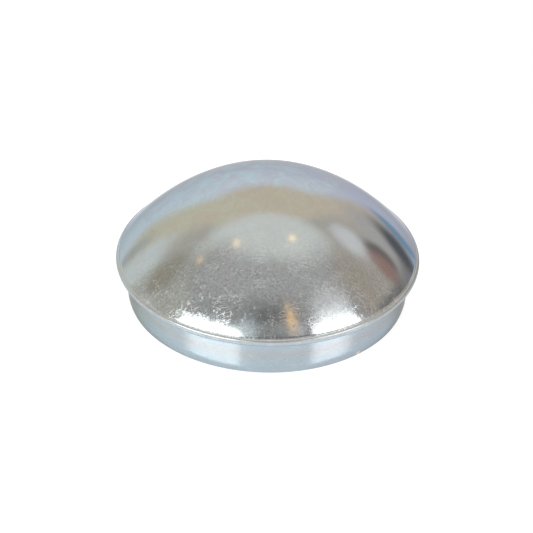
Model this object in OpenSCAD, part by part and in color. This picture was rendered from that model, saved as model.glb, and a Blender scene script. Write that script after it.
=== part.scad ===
// Hub grease cap: one round of sheet steel, drawn to a rounded cone, folded back under itself as a
// lip, and turned down from the lip into a skirt that presses into the hub's bore.
// Millimetres. Z is the cap's axis, with the skirt's free end at z = 0 and the crown on top.

/* [Sheet] */
// Thickness of the sheet
sheet = 1; // [0.7:0.1:1.4]

/* [Skirt] */
// Outside diameter of the skirt, which is that of the hub's bore
skirt_d = 76; // [56:0.5:100]
// Depth of the skirt, from the lip's underside to its free end
skirt_h = 10.6; // [5:0.1:24]
// Height of the lead-in, where the free end is drawn in
lead_h = 1.3; // [0.8:0.1:2.5]
// How far the lead-in draws the free end in, on the radius
lead_in = 0.35; // [0.1:0.05:0.6]
// Rounding of the free end's outer edge
rim_r = 0.25; // [0.1:0.05:0.5]

/* [Lip] */
// How far the lip stands out past the skirt
lip_over = 3.1; // [2.4:0.1:6]
// Radius outside the corner between the lip's underside and the skirt
seat_r = 0.4; // [0.2:0.1:0.8]
// How much of the lip shows outside the foot of the dome
lip_show = 0.8; // [0.6:0.05:0.95]
// Radius of the crease between the dome and the lip
crease_r = 0.25; // [0.1:0.05:0.5]

/* [Dome] */
// Outside radius of the crown
crown_r = 42; // [30:0.5:54]
// Slope at which the crown gives way to the flank, in degrees
crown_tilt = 29.5; // [22:0.5:36]
// Slope at which the flank gives way to the rounded edge, in degrees
flank_tilt = 50; // [45:0.5:54]
// Slope at which the dome meets the lip, in degrees
foot_tilt = 60; // [57:0.5:66]
// Outside radius of the rounded edge between the flank and the lip
edge_r = 4.5; // [2.5:0.5:8]

/* [Hidden] */
$fn = 144;
// How far a chord of the section may stand off its arc
smooth = 0.004;

skirt_r = skirt_d / 2;
lip_r = skirt_r + lip_over;

// The sheet turns back about this point, with its two layers pressed flat on each other
fold_c = [lip_r - sheet, skirt_h + sheet];
// The sheet turns down into the skirt about this one
seat_c = [skirt_r + seat_r, skirt_h - seat_r];

// The dome's foot is where its outer face runs into the round of the fold
foot_x = lip_r - lip_show;
foot = [foot_x, fold_c.y + sqrt(sheet ^ 2 - (foot_x - fold_c.x) ^ 2)];

// The flank's radius is what brings the crown, the flank and the edge out to the foot
flank_r = (foot.x - crown_r * sin(crown_tilt) - edge_r * (sin(foot_tilt) - sin(flank_tilt)))
    / (sin(flank_tilt) - sin(crown_tilt));

// Centres of the three arcs, each in line with the last one's end so that they run on smoothly
edge_c = foot - edge_r * normal(foot_tilt);
flank_c = edge_c + (edge_r - flank_r) * normal(flank_tilt);
crown_c = [0, flank_c.y + (flank_r - crown_r) * cos(crown_tilt)];

// The crease rolls between the edge's arc and the fold's
crease_c = beside(edge_c, edge_r + crease_r, fold_c, sheet + crease_r);
crease_start = bearing(crease_c - edge_c);
crease_end = bearing(crease_c - fold_c);

// The free end's rounding touches the lead-in's slope and the flat end
rim_x = skirt_r - lead_in;
lead_a = bearing([lead_in, lead_h]);
rim_c = [rim_x - rim_r * tan(lead_a / 2), rim_r];

// Unit vector in a direction counted from the radius towards the axis
function dir(a) = [cos(a), sin(a)];

// Outward normal of the dome where its slope is t
function normal(t) = dir(90 - t);

// Direction of a vector
function bearing(v) = atan2(v.y, v.x);

// Point at distance a from p and distance b from q, on the left of the way from p to q
function beside(p, a, q, b) =
    let (
        gap = norm(q - p),
        way = (q - p) / gap,
        along = (a ^ 2 - b ^ 2 + gap ^ 2) / (2 * gap),
        aside = sqrt(a ^ 2 - along ^ 2)
    )
    p + along * way + aside * [-way.y, way.x];

// Points of an arc about c from one direction to another, without the last, which is the start of
// the stretch that follows
function arc(c, r, from, to) =
    let (steps = max(2, ceil(abs(to - from) / (2 * acos(1 - smooth / r)))))
    [for (i = [0 : steps - 1]) c + r * dir(from + (to - from) * i / steps)];

// The sheet's outer face, from the pole over the dome and round the lip to the free end
function outer_face() = concat(
    arc(crown_c, crown_r, 90, 90 - crown_tilt),
    arc(flank_c, flank_r, 90 - crown_tilt, 90 - flank_tilt),
    arc(edge_c, edge_r, 90 - flank_tilt, crease_start),
    arc(crease_c, crease_r, crease_start + 180, crease_end + 180),
    arc(fold_c, sheet, crease_end, -90),
    [[fold_c.x, skirt_h]],
    arc(seat_c, seat_r, 90, 180),
    [[skirt_r, seat_c.y], [skirt_r, lead_h]],
    arc(rim_c, rim_r, lead_a - 90, -90),
    [[rim_c.x, 0]]
);

// The sheet's inner face, from the free end up over the lip's lower layer, into the root of the
// fold and back to the pole
function inner_face() = concat(
    [[rim_x - sheet, 0], [skirt_r - sheet, lead_h]],
    arc(seat_c, seat_r + sheet, 180, 90),
    [[seat_c.x, fold_c.y], fold_c],
    arc(edge_c, edge_r - sheet, 90 - foot_tilt, 90 - flank_tilt),
    arc(flank_c, flank_r - sheet, 90 - flank_tilt, 90 - crown_tilt),
    arc(crown_c, crown_r - sheet, 90 - crown_tilt, 90),
    [[0, crown_c.y + crown_r - sheet]]
);

// The pressing: its section turned about the axis
module cap() {
    color([0.76, 0.79, 0.81])
        rotate_extrude()
            polygon(concat(outer_face(), inner_face()));
}

cap();
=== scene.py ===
"""A pressed hub grease cap in zinc-plated steel, on a plain pale floor under soft studio light."""
import logging
import math
from dataclasses import dataclass, field
from enum import Enum
from typing import Callable, Sequence

import bpy
from mathutils import Matrix, Vector
from mathutils.kdtree import KDTree


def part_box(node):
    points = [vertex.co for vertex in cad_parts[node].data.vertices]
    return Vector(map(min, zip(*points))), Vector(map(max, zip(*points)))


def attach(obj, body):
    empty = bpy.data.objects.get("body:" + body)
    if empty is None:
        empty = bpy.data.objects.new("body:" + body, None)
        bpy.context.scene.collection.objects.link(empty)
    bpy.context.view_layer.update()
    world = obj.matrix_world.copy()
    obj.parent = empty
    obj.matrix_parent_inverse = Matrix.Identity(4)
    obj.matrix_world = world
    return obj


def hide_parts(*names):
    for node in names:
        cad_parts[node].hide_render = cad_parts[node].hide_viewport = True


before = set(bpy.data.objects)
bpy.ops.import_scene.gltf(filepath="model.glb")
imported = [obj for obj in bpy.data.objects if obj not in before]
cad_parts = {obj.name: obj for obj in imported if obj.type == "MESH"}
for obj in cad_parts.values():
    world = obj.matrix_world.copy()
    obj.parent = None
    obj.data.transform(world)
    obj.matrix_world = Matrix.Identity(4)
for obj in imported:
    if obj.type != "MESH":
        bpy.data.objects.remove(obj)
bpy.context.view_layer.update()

log = logging.getLogger("hub_grease_cap")

Point = tuple[float, float]
Colour = tuple[float, float, float]

MM = 0.001

# Places of the colour sockets on a Mix node
MIX_LOW, MIX_HIGH, MIX_RESULT = 6, 7, 2
# Middle value of a Noise texture
NOISE_MIDDLE = 0.5


@dataclass(frozen=True)
class Texture:
    """Settings of a Noise texture, and the values at which a mask cut from it is 0 and 1."""

    scale: float
    detail: float
    roughness: float = 0.5
    distortion: float = 0.0
    span: Point = (0.0, 1.0)


# How far the plate's film shifts along its tints from the cap's left to its right, for each metre
FILM_LEAN = 4.2
# The film's patches, and how far they wander to either side
FILM_PATCHES = Texture(130.0, 6.0, 0.7, 2.0)
FILM_SPREAD = 0.50
# Tints of the plate's film, from thin to thick
FILM_TINTS = (
    (0.22, (1.08, 1.16, 1.10)), (0.34, (1.04, 1.19, 1.20)), (0.44, (1.00, 1.08, 1.12)),
    (0.52, (1.06, 1.00, 1.00)), (0.60, (0.95, 0.95, 1.08)), (0.70, (1.00, 0.90, 1.04)),
)
# Where the film's tints build up, from the front towards the back, and how much shows in front
FILM_SPAN = (-22.0 * MM, 16.0 * MM)
FILM_LEAST = 0.25
# The folds whose middles the film's thin wisps follow, how far off a middle a wisp ends, its tint
# and how much of it shows
WISP_FOLDS = Texture(75.0, 3.0, 0.6, 3.0)
WISP_HALF = 0.022
WISP_TINT = (1.10, 0.96, 0.92)
WISP_SHARE = 0.25

# Where the handling marks fade out, from the front towards the back, how much stays there, and
# how much further back they reach at the sides
WEAR_SPAN = (-31.0 * MM, -16.0 * MM)
WEAR_LEAST = 0.08
WEAR_ASIDE = 0.15
# The grain, which each finish gives its own scale, and how far it darkens and lightens the plate
GRAIN = Texture(900.0, 2.0, 0.7, span=(0.28, 0.72))
GRAIN_SWING = 0.26
# The clouds in which the plate is scuffed, the grain that shows in them, how much deeper it is cut
# there, and its share of the swing outside them and in them
CLOUDS = Texture(300.0, 3.0, 0.7, span=(0.48, 0.66))
SCUFF_SPAN = (0.40, 0.68)
SCUFF_DEPTH = 0.6
CLOUD_SWING = (0.7, 1.5)
# The specks, how they are drawn out over the dome, and how deep they are against the grain
SPECKS = Texture(1100.0, 1.0, span=(0.64, 0.74))
SPECK_STRETCH = (1.0, 0.5, 0.5)
SPECK_DEPTH = 1.0
# The hair scratches, the turn about the axis and the stretch of each run of them, how far off its
# middle a hair ends, where the runs break off, and how deep they are against the grain
HAIRS = Texture(90.0, 2.0)
HAIR_RUNS = ((84.0, 9.0), (97.0, 8.0), (60.0, 8.0), (118.0, 7.0))
HAIR_HALF = 0.007
HAIR_BREAKS = Texture(260.0, 1.0, span=(0.50, 0.58))
HAIR_DEPTH = 0.3
# The sheet's slow waves, and how high they are against the grain
WAVES = Texture(240.0, 1.0)
WAVE_HEIGHT = 6.0

# Centre and reach of the patch on the dome that has been rubbed dull
RUBBED = (15.8 * MM, -30.6 * MM, 18.5 * MM)
RUBBED_SPAN = (9.5 * MM, 2.5 * MM)
# Centre and reach of the bare nick on the skirt's free end, and the colour it has rusted to
NICK = (24.3 * MM, -29.0 * MM, 0.7 * MM)
NICK_SPAN = (0.85 * MM, 0.35 * MM)
NICK_COLOUR = (0.90, 0.72, 0.56)
# Height and half width of the warmer band round the middle of the skirt, and its tint
WARM_BAND_Z = 5.9 * MM
WARM_BAND_HALF = 2.3 * MM
WARM_BAND_TINT = (1.045, 0.95, 0.895)


class Face(Enum):
    """The parts of the cap's surface that have a finish of their own."""

    DOME = "dome_plate"
    BEAD = "bead_plate"
    SKIRT = "skirt_plate"
    INSIDE = "inner_plate"


# Nodes

class Wiring:
    """Adds nodes to one tree and joins them."""

    def __init__(self, tree: bpy.types.NodeTree) -> None:
        """Keeps the tree that the nodes go into.

        Args:
            tree: The node tree of a material, a world or a group.
        """
        self.tree = tree

    def add(self, kind: str, **settings: object) -> bpy.types.Node:
        """Adds one node.

        Args:
            kind: The node's type name.
            settings: Attributes to set on the node.

        Returns:
            The new node.
        """
        node = self.tree.nodes.new(kind)
        for name, value in settings.items():
            setattr(node, name, value)
        return node

    def feed(self, socket: bpy.types.NodeSocket, value: object) -> None:
        """Gives a socket a value, or a link where the value is another socket.

        Args:
            socket: The input socket.
            value: A number, a colour, a vector or an output socket.
        """
        if isinstance(value, bpy.types.NodeSocket):
            self.tree.links.new(value, socket)
        elif isinstance(value, tuple) and len(value) == 3 and socket.type == "RGBA":
            socket.default_value = (*value, 1.0)
        else:
            socket.default_value = value

    def math(self, operation: str, *values: object, clamp: bool = False) -> bpy.types.NodeSocket:
        """Adds a Math node.

        Args:
            operation: The operation's name.
            values: Numbers or sockets for its inputs.
            clamp: Whether the result is held between 0 and 1.

        Returns:
            The result's socket.
        """
        node = self.add("ShaderNodeMath", operation=operation, use_clamp=clamp)
        for socket, value in zip(node.inputs, values):
            self.feed(socket, value)
        return node.outputs["Value"]

    def blend(self, factor: object, low: object, high: object,
              how: str = "MIX") -> bpy.types.NodeSocket:
        """Mixes two colours.

        Args:
            factor: How much of the second colour shows.
            low: The first colour or socket.
            high: The second colour or socket.
            how: The blend type.

        Returns:
            The mixed colour's socket.
        """
        node = self.add("ShaderNodeMix", data_type="RGBA", blend_type=how)
        self.feed(node.inputs["Factor"], factor)
        self.feed(node.inputs[MIX_LOW], low)
        self.feed(node.inputs[MIX_HIGH], high)
        return node.outputs[MIX_RESULT]

    def ramp(self, value: object, low: float, high: float, start: float = 0.0,
             end: float = 1.0, smooth: bool = True) -> bpy.types.NodeSocket:
        """Maps a value from one range to another, held at both ends.

        Args:
            value: The socket to map.
            low: The value that gives the start.
            high: The value that gives the end.
            start: The result at the low value.
            end: The result at the high value.
            smooth: Whether the ramp eases in and out.

        Returns:
            The result's socket.
        """
        node = self.add("ShaderNodeMapRange")
        node.interpolation_type = "SMOOTHSTEP" if smooth else "LINEAR"
        for name, given in zip(("Value", "From Min", "From Max", "To Min", "To Max"),
                               (value, low, high, start, end)):
            self.feed(node.inputs[name], given)
        return node.outputs["Result"]

    def angle(self, over: object, base: object) -> bpy.types.NodeSocket:
        """Angle in degrees whose tangent is one socket over another."""
        return self.math("DEGREES", self.math("ARCTAN2", over, base))

    def noise(self, vector: bpy.types.NodeSocket, texture: Texture,
              scale: bpy.types.NodeSocket | None = None) -> bpy.types.NodeSocket:
        """Adds a Noise texture.

        Args:
            vector: The coordinates that it reads.
            texture: Its settings.
            scale: A socket that gives its scale in place of the settings.

        Returns:
            The texture's value.
        """
        node = self.add("ShaderNodeTexNoise")
        self.feed(node.inputs["Vector"], vector)
        self.feed(node.inputs["Scale"], texture.scale if scale is None else scale)
        self.feed(node.inputs["Detail"], texture.detail)
        self.feed(node.inputs["Roughness"], texture.roughness)
        self.feed(node.inputs["Distortion"], texture.distortion)
        return node.outputs["Fac"]

    def mask(self, vector: bpy.types.NodeSocket, texture: Texture) -> bpy.types.NodeSocket:
        """Mask cut from a Noise texture between the ends of its span."""
        return self.ramp(self.noise(vector, texture), *texture.span)

    def ridge(self, value: bpy.types.NodeSocket, middle: float, half: float,
              top: float = 1.0) -> bpy.types.NodeSocket:
        """Adds a mask that is highest where a value is at its middle.

        Args:
            value: The socket that it reads.
            middle: The value at which the mask is highest.
            half: How far from the middle the mask ends.
            top: How high it is there.

        Returns:
            The mask's value.
        """
        off = self.math("ABSOLUTE", self.math("SUBTRACT", value, middle))
        return self.ramp(off, half, 0.0, 0.0, top)

    def split(self, vector: bpy.types.NodeSocket) -> tuple[bpy.types.NodeSocket, ...]:
        """Splits a vector.

        Args:
            vector: The vector's socket.

        Returns:
            The sockets of its X, Y and Z.
        """
        node = self.add("ShaderNodeSeparateXYZ")
        self.feed(node.inputs["Vector"], vector)
        return tuple(node.outputs)

    def near(self, place: bpy.types.NodeSocket, centre: tuple[float, float, float],
             span: Point) -> bpy.types.NodeSocket:
        """Adds a mask that rises from 0 to 1 towards a point.

        Args:
            place: The coordinates that it reads.
            centre: The point.
            span: Distances at which the mask is 0 and 1.

        Returns:
            The mask's value.
        """
        node = self.add("ShaderNodeVectorMath", operation="DISTANCE")
        self.feed(node.inputs[0], place)
        self.feed(node.inputs[1], centre)
        return self.ramp(node.outputs["Value"], *span)

    def stretch(self, place: bpy.types.NodeSocket, scale: tuple[float, float, float],
                turn: float = 0.0) -> bpy.types.NodeSocket:
        """Turns coordinates about Z and scales them.

        Args:
            place: The coordinates' socket.
            scale: How far they are stretched along each axis.
            turn: How far they are turned first, in degrees.

        Returns:
            The new coordinates' socket.
        """
        node = self.add("ShaderNodeMapping")
        self.feed(node.inputs["Vector"], place)
        node.inputs["Rotation"].default_value = (0.0, 0.0, math.radians(turn))
        node.inputs["Scale"].default_value = scale
        return node.outputs["Vector"]

    def stops(self, value: object, colours: Sequence[tuple[float, Colour]]) -> bpy.types.NodeSocket:
        """Maps a value to colours through a ramp.

        Args:
            value: The socket to map.
            colours: Place and colour of each stop.

        Returns:
            The colour's socket.
        """
        node = self.add("ShaderNodeValToRGB")
        elements = node.color_ramp.elements
        while len(elements) < len(colours):
            elements.new(1.0)
        for element, (place, colour) in zip(elements, colours):
            element.position = place
            element.color = (*colour, 1.0)
        self.feed(node.inputs["Fac"], value)
        return node.outputs["Color"]

    def group(self, group: bpy.types.NodeTree, **values: object) -> bpy.types.Node:
        """Places a node group and feeds its inputs.

        Args:
            group: The node group.
            values: Its inputs by name, with underscores for spaces.

        Returns:
            The group's node.
        """
        node = self.add("ShaderNodeGroup", node_tree=group)
        for name, value in values.items():
            self.feed(node.inputs[name.replace("_", " ")], value)
        return node


def new_group(name: str, inputs: Sequence[tuple[str, str, float]],
              outputs: Sequence[tuple[str, str]]) -> tuple[Wiring, bpy.types.Node, bpy.types.Node]:
    """Starts a shader node group.

    Args:
        name: The group's name.
        inputs: Name, kind and default of each input.
        outputs: Name and kind of each output.

    Returns:
        The group's wiring, its input node and its output node.
    """
    tree = bpy.data.node_groups.new(name, "ShaderNodeTree")
    for label, kind, default in inputs:
        socket = tree.interface.new_socket(label, in_out="INPUT", socket_type=f"NodeSocket{kind}")
        if kind == "Float":
            socket.default_value = default
    for label, kind in outputs:
        tree.interface.new_socket(label, in_out="OUTPUT", socket_type=f"NodeSocket{kind}")
    wiring = Wiring(tree)
    return wiring, wiring.add("NodeGroupInput"), wiring.add("NodeGroupOutput")


# The cap

@dataclass(frozen=True)
class CapSection:
    """Sizes of the pressed sheet's section, in metres and degrees.

    Attributes:
        lip_r: Outside radius of the lip.
        sheet: Thickness of the sheet.
        skirt_h: Depth of the skirt, from the lip's underside to its free end.
        lead_h: Height of the lead-in, where the free end is drawn in.
        lead_in: How far the lead-in draws the free end in, on the radius.
        rim_r: Rounding of the free end's outer edge.
        lip_over: How far the lip stands out past the skirt.
        seat_r: Radius outside the corner between the lip's underside and the skirt.
        lip_show: How much of the lip shows outside the foot of the dome.
        crease_r: Radius of the crease between the dome and the lip.
        crown_r: Outside radius of the crown.
        crown_tilt: Slope at which the crown gives way to the flank.
        flank_tilt: Slope at which the flank gives way to the rounded edge.
        foot_tilt: Slope at which the dome meets the lip.
        edge_r: Outside radius of the rounded edge between the flank and the lip.
    """

    lip_r: float
    sheet: float = 1.0 * MM
    skirt_h: float = 10.6 * MM
    lead_h: float = 1.3 * MM
    lead_in: float = 0.35 * MM
    rim_r: float = 0.25 * MM
    lip_over: float = 3.1 * MM
    seat_r: float = 0.4 * MM
    lip_show: float = 0.8 * MM
    crease_r: float = 0.25 * MM
    crown_r: float = 42.0 * MM
    crown_tilt: float = 29.5
    flank_tilt: float = 50.0
    foot_tilt: float = 60.0
    edge_r: float = 4.5 * MM

    @property
    def height(self) -> float:
        """Height of the crown's pole above the free end."""
        return self.crown.y + self.crown_r

    @property
    def skirt_r(self) -> float:
        """Outside radius of the skirt."""
        return self.lip_r - self.lip_over

    @property
    def fold(self) -> Vector:
        """Point about which the sheet folds back on itself."""
        return Vector((self.lip_r - self.sheet, self.skirt_h + self.sheet))

    @property
    def seat(self) -> Vector:
        """Point about which the sheet turns down into the skirt."""
        return Vector((self.skirt_r + self.seat_r, self.skirt_h - self.seat_r))

    @property
    def foot(self) -> Vector:
        """Point at which the dome's outer face would run into the fold."""
        x = self.lip_r - self.lip_show
        return Vector((x, self.fold.y + math.sqrt(self.sheet ** 2 - (x - self.fold.x) ** 2)))

    @property
    def flank_r(self) -> float:
        """Radius that brings the crown, the flank and the edge out to the foot."""
        crown, flank, foot = (math.sin(math.radians(t))
                              for t in (self.crown_tilt, self.flank_tilt, self.foot_tilt))
        return (self.foot.x - self.crown_r * crown - self.edge_r * (foot - flank)) / (flank - crown)

    @property
    def edge(self) -> Vector:
        """Centre of the rounded edge between the flank and the lip."""
        return self.foot - self.edge_r * towards(90 - self.foot_tilt)

    @property
    def flank(self) -> Vector:
        """Centre of the flank's arc."""
        return self.edge + (self.edge_r - self.flank_r) * towards(90 - self.flank_tilt)

    @property
    def crown(self) -> Vector:
        """Centre of the crown's arc, on the axis."""
        rise = (self.flank_r - self.crown_r) * math.cos(math.radians(self.crown_tilt))
        return Vector((0.0, self.flank.y + rise))

    @property
    def rim(self) -> Vector:
        """Centre of the rounding on the free end's outer edge."""
        lean = math.radians(bearing(Vector((self.lead_in, self.lead_h))))
        reach = self.skirt_r - self.lead_in - self.rim_r * math.tan(lean / 2)
        return Vector((reach, self.rim_r))

    @property
    def crease(self) -> Vector:
        """Centre of the crease that rolls between the edge and the fold."""
        edge_far = self.edge_r + self.crease_r
        fold_far = self.sheet + self.crease_r
        way = self.fold - self.edge
        gap = way.length
        along = (edge_far ** 2 - fold_far ** 2 + gap ** 2) / (2 * gap)
        aside = math.sqrt(edge_far ** 2 - along ** 2)
        way.normalize()
        return self.edge + along * way + aside * Vector((-way.y, way.x))

    def stretches(self) -> list[tuple[Face, list[Vector]]]:
        """Follows the whole section, from the crown's pole over the dome and round the lip to the
        free end, and back up inside to the pole.

        Returns:
            Each stretch's face and points.
        """
        return [
            (Face.DOME, self.dome()),
            (Face.BEAD, self.bead()),
            (Face.SKIRT, self.skirt()),
            (Face.INSIDE, self.inside()),
        ]

    def dome(self) -> list[Vector]:
        """Follows the outer face from the pole to the crease against the lip.

        Returns:
            The stretch's points.
        """
        start = bearing(self.crease - self.edge)
        end = bearing(self.crease - self.fold)
        return [
            *arc(self.crown, self.crown_r, 90, 90 - self.crown_tilt, steps=40),
            *arc(self.flank, self.flank_r, 90 - self.crown_tilt, 90 - self.flank_tilt, steps=30),
            *arc(self.edge, self.edge_r, 90 - self.flank_tilt, start, steps=10),
            *arc(self.crease, self.crease_r, start + 180, end + 180, steps=8),
        ]

    def bead(self) -> list[Vector]:
        """Points of the outer face round the fold that makes the lip."""
        start = bearing(self.crease - self.fold)
        return arc(self.fold, self.sheet, start, -90, steps=22)

    def skirt(self) -> list[Vector]:
        """Follows the outer face from under the lip down to the flat of the free end.

        Returns:
            The stretch's points.
        """
        corner = Vector((self.skirt_r, self.seat.y))
        lead = Vector((self.skirt_r, self.lead_h))
        lean = bearing(Vector((self.lead_in, self.lead_h)))
        return [
            *line(Vector((self.fold.x, self.skirt_h)), Vector((self.seat.x, self.skirt_h)), steps=2),
            *arc(self.seat, self.seat_r, 90, 180, steps=8),
            *line(corner, lead, steps=6),
            *line(lead, self.rim + self.rim_r * towards(lean - 90), steps=3),
            *arc(self.rim, self.rim_r, lean - 90, -90, steps=5),
            Vector((self.rim.x, 0.0)),
        ]

    def inside(self) -> list[Vector]:
        """Follows the inner face from the free end over the lip's lower layer up to the pole.

        Returns:
            The stretch's points.
        """
        thin = self.sheet
        end = Vector((self.skirt_r - self.lead_in - thin, 0.0))
        lead = Vector((self.skirt_r - thin, self.lead_h))
        corner = Vector((self.skirt_r - thin, self.seat.y))
        return [
            *line(end, lead, steps=2),
            *line(lead, corner, steps=6),
            *arc(self.seat, self.seat_r + thin, 180, 90, steps=8),
            *line(Vector((self.seat.x, self.fold.y)), self.fold, steps=2),
            self.fold,
            *arc(self.edge, self.edge_r - thin, 90 - self.foot_tilt, 90 - self.flank_tilt, steps=4),
            *arc(self.flank, self.flank_r - thin, 90 - self.flank_tilt, 90 - self.crown_tilt,
                 steps=20),
            *arc(self.crown, self.crown_r - thin, 90 - self.crown_tilt, 90, steps=28),
            self.crown + (self.crown_r - thin) * towards(90),
        ]


def towards(angle: float) -> Vector:
    """Unit vector in the section's plane, at an angle in degrees from the radius."""
    return Vector((math.cos(math.radians(angle)), math.sin(math.radians(angle))))


def bearing(way: Vector) -> float:
    """Angle of a vector in the section's plane, in degrees."""
    return math.degrees(math.atan2(way.y, way.x))


def arc(centre: Vector, radius: float, start: float, end: float, steps: int) -> list[Vector]:
    """Points of an arc without its last one, which starts the stretch that follows.

    Args:
        centre: The arc's centre.
        radius: Its radius.
        start: Direction of the first point, in degrees.
        end: Direction of the point after the last.
        steps: Number of points.

    Returns:
        The points.
    """
    return [centre + radius * towards(start + (end - start) * i / steps) for i in range(steps)]


def line(start: Vector, end: Vector, steps: int) -> list[Vector]:
    """Points of a straight stretch without its last one."""
    return [start.lerp(end, i / steps) for i in range(steps)]


@dataclass
class GreaseCap:
    """The cap: one pressing, turned from its section.

    Attributes:
        section: The pressed sheet's section.
        name: Name of the finished piece.
        turns: Number of steps that the section is spun in.
        sharp: Angle in degrees past which an edge is shaded sharp.
        weld: Distance within which the spun points are merged.
        shell: The piece, once it is drawn.
    """

    section: CapSection
    name: str = "grease_cap"
    turns: int = 288
    sharp: float = 50.0
    weld: float = 0.001 * MM
    shell: bpy.types.Object = field(init=False)

    def build(self) -> bpy.types.Object:
        """Models the shell and gives each face its finish.

        Returns:
            The finished piece.
        """
        self.shell = self.draw_section()
        self.spin_shell()
        self.smooth_shell()
        self.paint_faces()
        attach(self.shell, "root")
        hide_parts("cap")
        return self.shell

    def draw_section(self) -> bpy.types.Object:
        """Draws the section as one wire, extruded point by point from the crown's pole.

        Returns:
            The shell, in edit mode.
        """
        pole, *points = [point for _, stretch in self.section.stretches() for point in stretch]
        bpy.ops.object.select_all(action="DESELECT")
        bpy.ops.mesh.primitive_plane_add(size=self.section.sheet, location=(pole.x, 0.0, pole.y))
        shell = bpy.context.object
        shell.name = self.name
        shell.data.name = self.name
        bpy.ops.object.transform_apply(location=True, rotation=True, scale=True)
        bpy.ops.object.mode_set(mode="EDIT")
        bpy.ops.mesh.select_mode(type="VERT")
        bpy.ops.mesh.select_all(action="SELECT")
        bpy.ops.mesh.merge(type="CENTER")
        for start, end in zip([pole, *points], points):
            step = (end.x - start.x, 0.0, end.y - start.y)
            bpy.ops.mesh.extrude_vertices_move(TRANSFORM_OT_translate={"value": step})
        return shell

    def spin_shell(self) -> None:
        """Spins the section round the axis into a closed shell, with its poles and seam merged."""
        bpy.ops.mesh.select_all(action="SELECT")
        bpy.ops.mesh.spin(steps=self.turns, angle=2 * math.pi, center=(0.0, 0.0, 0.0),
                          axis=(0.0, 0.0, 1.0))
        bpy.ops.mesh.select_all(action="SELECT")
        bpy.ops.mesh.remove_doubles(threshold=self.weld)
        bpy.ops.mesh.select_all(action="SELECT")
        bpy.ops.mesh.normals_make_consistent(inside=False)
        bpy.ops.mesh.select_all(action="DESELECT")
        bpy.ops.object.mode_set(mode="OBJECT")

    def smooth_shell(self) -> None:
        """Shades the shell smooth, apart from the edges of its free end."""
        bpy.ops.object.select_all(action="DESELECT")
        self.shell.select_set(True)
        bpy.context.view_layer.objects.active = self.shell
        bpy.ops.object.shade_smooth_by_angle(angle=math.radians(self.sharp))

    def paint_faces(self) -> None:
        """Gives each face of the shell the finish of the stretch of section that it was spun from."""
        finishes = PlateFinish.all_for()
        order = list(Face)
        for face in order:
            self.shell.data.materials.append(finishes[face].material())
        stretches = [(face, point) for face, points in self.section.stretches() for point in points]
        tree = KDTree(len(stretches))
        for index, ((_, start), (_, end)) in enumerate(zip(stretches, stretches[1:])):
            tree.insert((*start.lerp(end, 0.5), 0.0), index)
        tree.balance()
        for polygon in self.shell.data.polygons:
            place = polygon.center
            _, index, _ = tree.find((math.hypot(place.x, place.y), place.z, 0.0))
            polygon.material_index = order.index(stretches[index][0])


# Finishes

def zinc_colour_group() -> bpy.types.NodeTree:
    """Plate colour that drifts over the surface as the film's thickness does.

    Returns:
        The node group.
    """
    wiring, entry, exit_ = new_group(
        "Zinc colour",
        [("Vector", "Vector", 0.0), ("Plate", "Color", 0.0), ("Drift", "Float", 0.5)],
        [("Colour", "Color")],
    )
    place = entry.outputs["Vector"]
    x, y, _ = wiring.split(place)
    patches = wiring.ramp(wiring.noise(place, FILM_PATCHES), 0.0, 1.0,
                          NOISE_MIDDLE - FILM_SPREAD, NOISE_MIDDLE + FILM_SPREAD, False)
    film = wiring.math("ADD", patches, wiring.math("MULTIPLY", x, FILM_LEAN), clamp=True)
    wisps = wiring.ridge(wiring.noise(place, WISP_FOLDS), NOISE_MIDDLE, WISP_HALF, WISP_SHARE)
    tints = wiring.blend(wisps, wiring.stops(film, FILM_TINTS), WISP_TINT)
    tinted = wiring.blend(1.0, entry.outputs["Plate"], tints, "MULTIPLY")
    shown = wiring.math("MULTIPLY", entry.outputs["Drift"],
                        wiring.ramp(y, *FILM_SPAN, FILM_LEAST, 1.0))
    wiring.feed(exit_.inputs["Colour"], wiring.blend(shown, entry.outputs["Plate"], tinted))
    return wiring.tree


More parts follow.
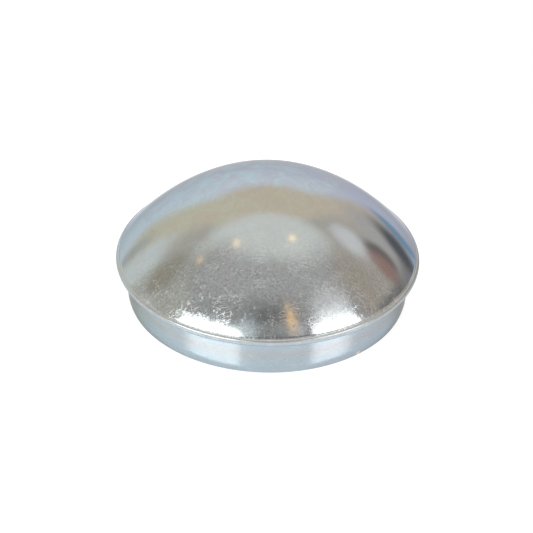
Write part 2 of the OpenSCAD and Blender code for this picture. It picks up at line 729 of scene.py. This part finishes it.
def handling_marks_group() -> bpy.types.NodeTree:
    """Grain, specks and hair scratches from handling: a height, a mask of what they dull, and how
    much light the plate keeps.

    Returns:
        The node group.
    """
    wiring, entry, exit_ = new_group(
        "Handling marks",
        [("Vector", "Vector", 0.0), ("Grain size", "Float", GRAIN.scale), ("Wear", "Float", 0.5)],
        [("Height", "Float"), ("Mask", "Float"), ("Keep", "Float")],
    )
    place = entry.outputs["Vector"]
    worn = wiring.math("MULTIPLY", entry.outputs["Wear"], handled_front(wiring, place))
    grain = wiring.noise(place, GRAIN, entry.outputs["Grain size"])
    specks = wiring.mask(wiring.stretch(place, SPECK_STRETCH), SPECKS)
    clouds = wiring.mask(place, CLOUDS)
    hairs = wiring.math("MULTIPLY", hair_scratches(wiring, place), wiring.mask(place, HAIR_BREAKS))
    rubbed = wiring.near(place, RUBBED, RUBBED_SPAN)
    scuffed = wiring.math("MAXIMUM", clouds, rubbed)

    scuffs = wiring.math("MULTIPLY", scuffed, wiring.ramp(grain, *SCUFF_SPAN))
    marks = wiring.math("MAXIMUM", wiring.math("MAXIMUM", specks, hairs),
                        wiring.math("MAXIMUM", rubbed, scuffs))
    wiring.feed(exit_.inputs["Mask"], wiring.math("MULTIPLY", marks, worn, clamp=True))

    deeper = wiring.math("ADD", 1.0, wiring.math("MULTIPLY", scuffed, SCUFF_DEPTH))
    relief = wiring.math("MULTIPLY", grain, deeper)
    relief = wiring.math("SUBTRACT", relief, wiring.math("MULTIPLY", specks, SPECK_DEPTH))
    relief = wiring.math("SUBTRACT", relief, wiring.math("MULTIPLY", hairs, HAIR_DEPTH))
    waves = wiring.math("MULTIPLY", wiring.noise(place, WAVES), WAVE_HEIGHT)
    wiring.feed(exit_.inputs["Height"], wiring.math(
        "ADD", wiring.math("MULTIPLY", relief, worn), waves))

    swing = wiring.ramp(grain, *GRAIN.span, -GRAIN_SWING, GRAIN_SWING, False)
    swing = wiring.math("MULTIPLY", swing, wiring.ramp(clouds, 0.0, 1.0, *CLOUD_SWING))
    swing = wiring.math("ADD", swing, wiring.math("MULTIPLY", hairs, 2 * GRAIN_SWING))
    wiring.feed(exit_.inputs["Keep"], wiring.math("ADD", 1.0, wiring.math("MULTIPLY", swing, worn)))
    return wiring.tree


def handled_front(wiring: Wiring, place: bpy.types.NodeSocket) -> bpy.types.NodeSocket:
    """Share of the handling marks that shows, from the front of the cap towards its back.

    Args:
        wiring: The group that the nodes go into.
        place: The coordinates that they read.

    Returns:
        The share's socket.
    """
    x, y, _ = wiring.split(place)
    aside = wiring.math("MULTIPLY", wiring.math("ABSOLUTE", x), WEAR_ASIDE)
    return wiring.ramp(wiring.math("SUBTRACT", y, aside), *WEAR_SPAN, 1.0, WEAR_LEAST)


def hair_scratches(wiring: Wiring, place: bpy.types.NodeSocket) -> bpy.types.NodeSocket:
    """Mask of long fine scratches in a few runs that cross each other.

    Args:
        wiring: The group that the scratches go into.
        place: The coordinates that they read.

    Returns:
        The mask's value.
    """
    hairs = 0.0
    for turn, stretch in HAIR_RUNS:
        run = wiring.noise(wiring.stretch(place, (1.0, stretch, 1.0), turn), HAIRS)
        hairs = wiring.math("MAXIMUM", hairs, wiring.ridge(run, NOISE_MIDDLE, HAIR_HALF))
    return hairs


@dataclass(frozen=True)
class PlateFinish:
    """One zinc-plated finish.

    Attributes:
        face: The face that it covers.
        plate: Colour of the plate where it is looked at straight on.
        gloss: Roughness of the plate where it is clean.
        dull: Roughness where it is marked.
        drift: How much of the film's tints shows.
        wear: How much of the handling marks shows.
        grain_size: Scale of the grain.
        relief: Height of the relief, for 1 in the marks.
        drawn: How many times closer its pattern lies along the axis than round it.
        die_marked: Whether it has the warmer band round the middle of the skirt and the nick.
        rim_tint: Tint that it takes where it is looked at along the surface.
    """

    face: Face
    plate: Colour
    gloss: float
    dull: float
    drift: float
    wear: float
    grain_size: float
    relief: float
    drawn: float = 1.0
    die_marked: bool = False
    rim_tint: Colour = (0.61, 0.62, 0.64)

    @classmethod
    def all_for(cls) -> dict[Face, "PlateFinish"]:
        """Lists the cap's finishes.

        Returns:
            Each face's finish.
        """
        finishes = (
            cls(Face.DOME, (0.440, 0.515, 0.560), gloss=0.12, dull=0.30, drift=1.0, wear=1.0,
                grain_size=1400.0, relief=0.0013 * MM),
            cls(Face.BEAD, (0.475, 0.550, 0.592), gloss=0.28, dull=0.34, drift=0.6, wear=0.4,
                grain_size=1400.0, relief=0.004 * MM),
            cls(Face.SKIRT, (0.424, 0.508, 0.562), gloss=0.16, dull=0.26, drift=1.2, wear=0.3,
                grain_size=900.0, relief=0.003 * MM, drawn=5.0, die_marked=True,
                rim_tint=(0.51, 0.49, 0.44)),
            cls(Face.INSIDE, (0.40, 0.46, 0.50), gloss=0.32, dull=0.50, drift=0.8, wear=0.6,
                grain_size=900.0, relief=0.012 * MM),
        )
        return {finish.face: finish for finish in finishes}

    def material(self) -> bpy.types.Material:
        """Builds the finish as a material.

        Returns:
            The material.
        """
        material = bpy.data.materials.new(self.face.value)
        material.use_nodes = True
        wiring = Wiring(material.node_tree)
        shader = material.node_tree.nodes["Principled BSDF"]
        place = wiring.add("ShaderNodeTexCoord").outputs["Object"]
        along = wiring.stretch(place, (1.0, 1.0, self.drawn))
        colour = wiring.group(shared_group(zinc_colour_group, "Zinc colour"), Vector=along,
                              Plate=self.plate, Drift=self.drift)
        marks = wiring.group(shared_group(handling_marks_group, "Handling marks"), Vector=along,
                             Grain_size=self.grain_size, Wear=self.wear)
        keep = wiring.add("ShaderNodeVectorMath", operation="SCALE")
        wiring.feed(keep.inputs["Vector"], colour.outputs["Colour"])
        wiring.feed(keep.inputs["Scale"], marks.outputs["Keep"])
        skin, dulled = keep.outputs["Vector"], marks.outputs["Mask"]
        if self.die_marked:
            # A warmer band tinted round the middle of the skirt, and the rusted nick
            warm_band = wiring.ridge(wiring.split(place)[2], WARM_BAND_Z, WARM_BAND_HALF)
            nick = wiring.near(place, NICK, NICK_SPAN)
            skin = wiring.blend(nick, wiring.blend(warm_band, skin, WARM_BAND_TINT, "MULTIPLY"), NICK_COLOUR)
            dulled = wiring.math("MAXIMUM", dulled, nick)
        wiring.feed(shader.inputs["Base Color"], skin)
        shader.inputs["Metallic"].default_value = 1.0
        shader.inputs["Specular Tint"].default_value = (*self.rim_tint, 1.0)
        wiring.feed(shader.inputs["Roughness"],
                    wiring.ramp(dulled, 0.0, 1.0, self.gloss, self.dull, False))
        bump = wiring.add("ShaderNodeBump")
        bump.inputs["Strength"].default_value = 1.0
        bump.inputs["Distance"].default_value = self.relief
        wiring.feed(bump.inputs["Height"], marks.outputs["Height"])
        wiring.feed(shader.inputs["Normal"], bump.outputs["Normal"])
        return material


def shared_group(make: Callable[[], bpy.types.NodeTree], name: str) -> bpy.types.NodeTree:
    """Builds a node group once and returns it every time."""
    return bpy.data.node_groups.get(name) or make()


# The studio

class Chart(Enum):
    """How a patch of the studio is placed by two angles, in degrees.

    WALL takes the bearing from straight behind the cap, positive to the right, and the elevation
    above the floor. CEILING takes the lean from straight up towards the right and towards the
    back.
    """

    WALL = "wall"
    CEILING = "ceiling"


@dataclass(frozen=True)
class Tone:
    """A soft-edged patch of the room round the cap: a wall, a screen, a card or a small lamp.

    Attributes:
        name: What the patch stands for.
        colour: Its colour, where white is 1.
        centre: Its place in the chart, in degrees.
        half: Its half sizes along the chart's two angles.
        soft: Width of its soft edge, in degrees.
        chart: How its place is given.
        corner: How square its corners are, from 2 for an oval upwards.
        turn: Degrees by which it is turned from the chart's first angle towards the second.
    """

    name: str
    colour: Colour
    centre: Point
    half: Point
    soft: float
    chart: Chart = Chart.WALL
    corner: float = 6.0
    turn: float = 0.0

    @property
    def edge(self) -> float:
        """Half width of the soft edge, as a share of the patch's smaller half size."""
        return self.soft / 2 / min(self.half)


@dataclass(frozen=True)
class Softbox:
    """An upright softbox, given by the angles that it spans as seen from the cap.

    Attributes:
        name: Name of the lamp.
        facing: Bearing that it is square to, in degrees from straight behind the cap.
        start: Bearing of its first side.
        end: Bearing of its other side.
        bottom: Elevation of its lower edge, at its facing.
        top: Elevation of its upper edge, at its facing.
        level: How bright it is, where white is 1.
        reach: How far off it hangs, in metres.
        colour: Colour of its light.
    """

    name: str
    facing: float
    start: float
    end: float
    bottom: float
    top: float
    level: float = 5.5
    reach: float = 0.8
    colour: Colour = (1.00, 0.91, 0.85)

    def hang(self) -> None:
        """Adds the lamp, square to its facing and as bright as its level, where white is 1."""
        left, right = sorted(math.tan(math.radians(a - self.facing)) for a in (self.start, self.end))
        low, high = (math.tan(math.radians(a)) for a in (self.bottom, self.top))
        width, height = (right - left) * self.reach, (high - low) * self.reach
        a = math.radians(self.facing)
        outward = Vector((math.sin(a), math.cos(a), 0.0))
        across = Vector((math.cos(a), -math.sin(a), 0.0))
        lamp = bpy.data.lights.new(self.name, "AREA")
        lamp.shape = "RECTANGLE"
        lamp.size, lamp.size_y = width, height
        lamp.energy = self.level * width * height * math.pi
        lamp.color = self.colour
        box = bpy.data.objects.new(self.name, lamp)
        bpy.context.collection.objects.link(box)
        middle = Vector((0.0, 0.0, (low + high) / 2)) + across * (left + right) / 2 + outward
        box.location = middle * self.reach
        box.rotation_mode = "QUATERNION"
        box.rotation_quaternion = outward.to_track_quat("Z", "Y")
        box.visible_camera = False


@dataclass(frozen=True)
class Studio:
    """Plain soft light from a pale room, two softboxes and a white backdrop.

    Attributes:
        floor_colour: Colour of the floor.
        floor_glow: Share of plain white that the camera sees on the floor.
        floor_mirrored_glow: Share of it that the metal shows, far from the cap and near it: a painted
            pool of light, brighter near the cap, seen only in reflections.
        floor_span: Distances from the axis at which the floor is far and near.
        floor_gloss: Roughness of the floor.
        floor_shine: Strength of its reflections.
        floor_ior: Its index of refraction.
        floor_r: Radius of the floor.
        floor_sides: Number of sides that the floor has.
        floor_gap: How far the floor lies under the cap.
        hole_r: Radius of the opening under the cap.
        room: Colour of the room between the tones.
        tones: The room's patches, each painted over those before it.
        softboxes: The lamps.
    """

    floor_colour: Colour = (0.50, 0.51, 0.52)
    floor_glow: float = 0.65
    floor_mirrored_glow: Point = (0.20, 0.52)
    floor_span: Point = (0.085, 0.055)
    floor_gloss: float = 0.12
    floor_shine: float = 0.9
    floor_ior: float = 1.75
    floor_r: float = 0.13
    floor_sides: int = 96
    floor_gap: float = 0.02 * MM
    hole_r: float = 0.030
    room: Colour = (0.76, 0.64, 0.53)
    tones: tuple[Tone, ...] = (
        Tone("wall", (1.00, 0.79, 0.57), (-6, 50), (50, 60), 16),
        Tone("front wall", (0.47, 0.41, 0.37), (180, 52), (95, 26), 14),
        Tone("front shade", (0.21, 0.18, 0.16), (177, 56), (22, 6), 8),
        Tone("front gap", (0.56, 0.50, 0.46), (172, 47), (16, 3), 3, corner=3),
        Tone("front low", (0.34, 0.29, 0.26), (175, 36), (72, 7), 4, corner=4),
        Tone("left fall", (1.00, 0.93, 0.88), (-163, 43), (9, 7), 9, corner=2),
        Tone("right fall", (0.88, 0.80, 0.74), (153, 44), (7, 4), 5, corner=2),
        Tone("front card", (1.18, 1.10, 1.06), (-170, 13), (87, 15), 6, corner=4),
        Tone("ceiling", (0.70, 0.61, 0.55), (0, -12), (52, 20), 16, Chart.CEILING, 2),
        Tone("overhead", (1.12, 1.01, 0.89), (0, 13), (39.5, 11), 9, Chart.CEILING, 2),
        Tone("overhead low", (1.12, 1.01, 0.89), (4, 3), (27, 13), 9, Chart.CEILING, 2),
        Tone("left grey", (0.75, 0.63, 0.53), (-98, 28), (12, 14), 8),
        Tone("left brown", (0.56, 0.45, 0.34), (-77, 31), (8, 11), 8, corner=2),
        Tone("left post", (0.72, 0.64, 0.56), (-46.5, 3), (3.5, 10), 4, corner=3),
        Tone("left screen", (1.04, 0.95, 0.86), (-59, 12), (8, 16), 7, corner=3),
        Tone("right brown", (0.68, 0.54, 0.42), (84, 36), (13, 14), 10),
        Tone("right screen", (1.12, 1.00, 0.92), (59, 37), (8, 8.5), 8, corner=2),
        Tone("right grey", (0.80, 0.69, 0.59), (50, 13), (16, 12), 8, corner=3),
        Tone("right shade", (0.24, 0.19, 0.17), (57, 20), (5.5, 8), 4, corner=2),
        Tone("right warm", (0.56, 0.33, 0.26), (62, 20), (5.5, 8), 5, corner=2),
        Tone("backdrop", (1.06, 1.02, 1.03), (-4, 0), (31.5, 34.5), 11, corner=5),
        Tone("backdrop foot", (1.06, 1.02, 1.03), (-7, -5), (37, 10), 5, corner=3),
        Tone("right low", (0.44, 0.39, 0.36), (57, 6), (9, 4), 4, corner=2),
        Tone("right dusk", (0.32, 0.28, 0.25), (75, 16.1), (17, 3.5), 2.5, corner=3, turn=25),
        Tone("table", (1.06, 1.02, 1.03), (0, -22), (400, 21), 3),
        Tone("dark flag", (0.17, 0.16, 0.16), (43, 4.3), (8.8, 6.0), 6.5, corner=2, turn=-25),
        Tone("blue card", (0.37, 0.57, 0.68), (33.2, -3), (7.2, 4.2), 4, corner=2, turn=-29),
        Tone("amber card", (1.8, 1.05, 0.52), (156.5, 50.5), (3.4, 5.5), 5, corner=3),
        Tone("left spot", (2.6, 1.8, 1.0), (-20, 1.3), (2.2, 1.3), 2.4, Chart.CEILING, 2, 132),
        Tone("right spot", (2.7, 1.9, 1.1), (15.5, 4.3), (2.4, 1.7), 3, Chart.CEILING, 2, 79),
        Tone("far spot", (2.1, 1.3, 0.7), (-40.5, 4.5), (2.4, 1.0), 1.8, Chart.CEILING, 2, 113),
    )
    softboxes: tuple[Softbox, ...] = (
        Softbox("left_softbox", -155, -158.8, -112.5, 30, 43),
        Softbox("right_softbox", 150, 142, 107.3, 33.4, 41.8, level=6.6),
    )

    def build(self) -> None:
        """Makes the floor, the room's light and the softboxes."""
        self.make_floor()
        self.light_room()
        for softbox in self.softboxes:
            softbox.hang()

    def make_floor(self) -> None:
        """Lays a pale floor that is open under the cap and clear from below."""
        bpy.ops.object.select_all(action="DESELECT")
        bpy.ops.mesh.primitive_circle_add(vertices=self.floor_sides, radius=self.hole_r,
                                          location=(0.0, 0.0, -self.floor_gap))
        floor = bpy.context.object
        floor.name = "floor"
        bpy.ops.object.mode_set(mode="EDIT")
        bpy.ops.mesh.select_all(action="SELECT")
        bpy.ops.mesh.extrude_edges_move()
        grow = self.floor_r / self.hole_r
        bpy.ops.transform.resize(value=(grow, grow, 1.0))
        bpy.ops.mesh.select_all(action="SELECT")
        bpy.ops.mesh.normals_make_consistent(inside=False)
        bpy.ops.object.mode_set(mode="OBJECT")
        if floor.data.polygons[0].normal.z < 0:
            floor.data.flip_normals()
        floor.data.materials.append(self.floor_material())

    def floor_material(self) -> bpy.types.Material:
        """Pale and a little glossy from above, with a share of plain white for the camera and for
        what the metal shows of it, that share brighter near the cap as a painted pool of light seen
        only in reflections, and clear from below.

        Returns:
            The material.
        """
        material = bpy.data.materials.new("floor")
        material.use_nodes = True
        wiring = Wiring(material.node_tree)
        paper = material.node_tree.nodes["Principled BSDF"]
        wiring.feed(paper.inputs["Base Color"], self.floor_colour)
        path = wiring.add("ShaderNodeLightPath")
        seen = wiring.math("MULTIPLY", path.outputs["Is Camera Ray"], self.floor_glow)
        near = wiring.near(wiring.add("ShaderNodeTexCoord").outputs["Object"], (0.0, 0.0, 0.0),
                           self.floor_span)
        # The metal sees the floor glow brighter near the cap: a painted pool of light that shows only
        # in reflections
        mirrored = wiring.math("MULTIPLY", path.outputs["Is Glossy Ray"],
                               wiring.ramp(near, 0.0, 1.0, *self.floor_mirrored_glow, False))
        paper.inputs["Emission Color"].default_value = (1.0, 1.0, 1.0, 1.0)
        wiring.feed(paper.inputs["Emission Strength"], wiring.math("MAXIMUM", seen, mirrored))
        paper.inputs["Roughness"].default_value = self.floor_gloss
        paper.inputs["Specular IOR Level"].default_value = self.floor_shine
        paper.inputs["IOR"].default_value = self.floor_ior
        mix = wiring.add("ShaderNodeMixShader")
        wiring.feed(mix.inputs["Fac"], wiring.add("ShaderNodeNewGeometry").outputs["Backfacing"])
        wiring.feed(mix.inputs[1], paper.outputs["BSDF"])
        wiring.feed(mix.inputs[2], wiring.add("ShaderNodeBsdfTransparent").outputs["BSDF"])
        wiring.feed(material.node_tree.nodes["Material Output"].inputs["Surface"],
                    mix.outputs["Shader"])
        return material

    def light_room(self) -> None:
        """Paints the room's tones on the world, with plain white behind for the camera."""
        world = bpy.data.worlds.new("studio")
        bpy.context.scene.world = world
        world.use_nodes = True
        wiring = Wiring(world.node_tree)
        x, y, z = wiring.split(wiring.add("ShaderNodeTexCoord").outputs["Generated"])
        angles = {
            Chart.WALL: (wiring.angle(x, y), wiring.math("DEGREES", wiring.math("ARCSINE", z))),
            Chart.CEILING: (wiring.angle(x, z), wiring.angle(y, z)),
        }
        patch = patch_group()
        light = self.room
        for tone in self.tones:
            across, along = angles[tone.chart]
            mask = wiring.group(patch, Across=across, Along=along, Corner=tone.corner,
                                Centre_across=tone.centre[0], Centre_along=tone.centre[1],
                                Half_across=tone.half[0], Half_along=tone.half[1],
                                Edge=tone.edge, Turn=math.radians(tone.turn))
            mask.label = tone.name
            light = wiring.blend(mask.outputs["Mask"], light, tone.colour)
        path = wiring.add("ShaderNodeLightPath")
        plain = wiring.math("MAXIMUM", path.outputs["Is Camera Ray"],
                            path.outputs["Is Diffuse Ray"])
        wiring.feed(world.node_tree.nodes["Background"].inputs["Color"],
                    wiring.blend(plain, light, (1.0, 1.0, 1.0)))


def patch_group() -> bpy.types.NodeTree:
    """Mask of a soft-edged patch of the world, given by its centre and half sizes as angles.

    Returns:
        The node group.
    """
    wiring, entry, exit_ = new_group(
        "Soft patch",
        [(label, "Float", 0.0) for label in ("Across", "Along", "Centre across", "Centre along",
                                             "Half across", "Half along", "Turn", "Edge",
                                             "Corner")],
        [("Mask", "Float")],
    )
    given = entry.outputs
    off = wiring.add("ShaderNodeCombineXYZ")
    for name, socket in zip(("Across", "Along"), off.inputs):
        away = wiring.math("SUBTRACT", given[name], given[f"Centre {name.lower()}"])
        wiring.feed(socket, wiring.math("WRAP", away, 180.0, -180.0))
    turned = wiring.add("ShaderNodeVectorRotate", rotation_type="Z_AXIS", invert=True)
    wiring.feed(turned.inputs["Vector"], off.outputs["Vector"])
    wiring.feed(turned.inputs["Angle"], given["Turn"])
    shares = []
    for name, away in zip(("across", "along"), wiring.split(turned.outputs["Vector"])):
        share = wiring.math("DIVIDE", wiring.math("ABSOLUTE", away), given[f"Half {name}"])
        shares.append(wiring.math("POWER", share, given["Corner"]))
    out = wiring.math("POWER", wiring.math("ADD", *shares),
                      wiring.math("DIVIDE", 1.0, given["Corner"]))
    wiring.feed(exit_.inputs["Mask"], wiring.ramp(out, wiring.math("ADD", 1.0, given["Edge"]),
                                                  wiring.math("SUBTRACT", 1.0, given["Edge"])))
    return wiring.tree


# The camera

@dataclass(frozen=True)
class Viewpoint:
    """The camera: aimed along one line at the lip's top, then moved aside to frame the cap.

    Attributes:
        aim_z: Height of the point that it is aimed at, on the axis.
        distance: How far it stands from that point.
        elevation: How far up it stands, in degrees.
        roll: How far it is turned about its own line, in degrees.
        lens: Focal length for the sensor, in millimetres.
        sensor: Width of the sensor, in millimetres.
        right: How far it is moved to its right.
        up: How far it is moved upwards.
        nearest: How close to it things still show.
    """

    aim_z: float
    distance: float = 0.657
    elevation: float = 34.45
    roll: float = 1.17
    lens: float = 163.8
    sensor: float = 36.0
    right: float = -0.352 * MM
    up: float = -3.93 * MM
    nearest: float = 0.01

    def build(self) -> None:
        """Adds the camera and makes it the scene's."""
        tilt, roll = math.radians(self.elevation), math.radians(self.roll)
        back = Vector((0.0, -math.cos(tilt), math.sin(tilt)))
        level = Vector((1.0, 0.0, 0.0))
        above = back.cross(level)
        right = math.cos(roll) * level + math.sin(roll) * above
        up = math.cos(roll) * above - math.sin(roll) * level
        camera = bpy.data.cameras.new("camera")
        camera.lens = self.lens
        camera.sensor_width = self.sensor
        camera.clip_start = self.nearest
        holder = bpy.data.objects.new("camera", camera)
        bpy.context.collection.objects.link(holder)
        turn = Matrix((right, up, back)).transposed().to_4x4()
        place = Vector((0.0, 0.0, self.aim_z)) + back * self.distance
        place += right * self.right + up * self.up
        holder.matrix_world = Matrix.Translation(place) @ turn
        bpy.context.scene.camera = holder


def main() -> None:
    """Builds the camera, the studio and the cap, and reports each piece."""
    logging.basicConfig(level=logging.INFO, format="%(name)s: %(message)s")
    bpy.context.scene.view_settings.view_transform = "Standard"
    _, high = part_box("cap")
    section = CapSection(lip_r=high[0])
    Viewpoint(aim_z=section.skirt_h + 2 * section.sheet).build()
    Studio().build()
    piece = GreaseCap(section).build()
    log.info("%s: %d faces, crown at %.2f mm, CAD at %.2f mm", piece.name,
             len(piece.data.polygons), section.height / MM, high[2] / MM)


if __name__ == "__main__":
    main()
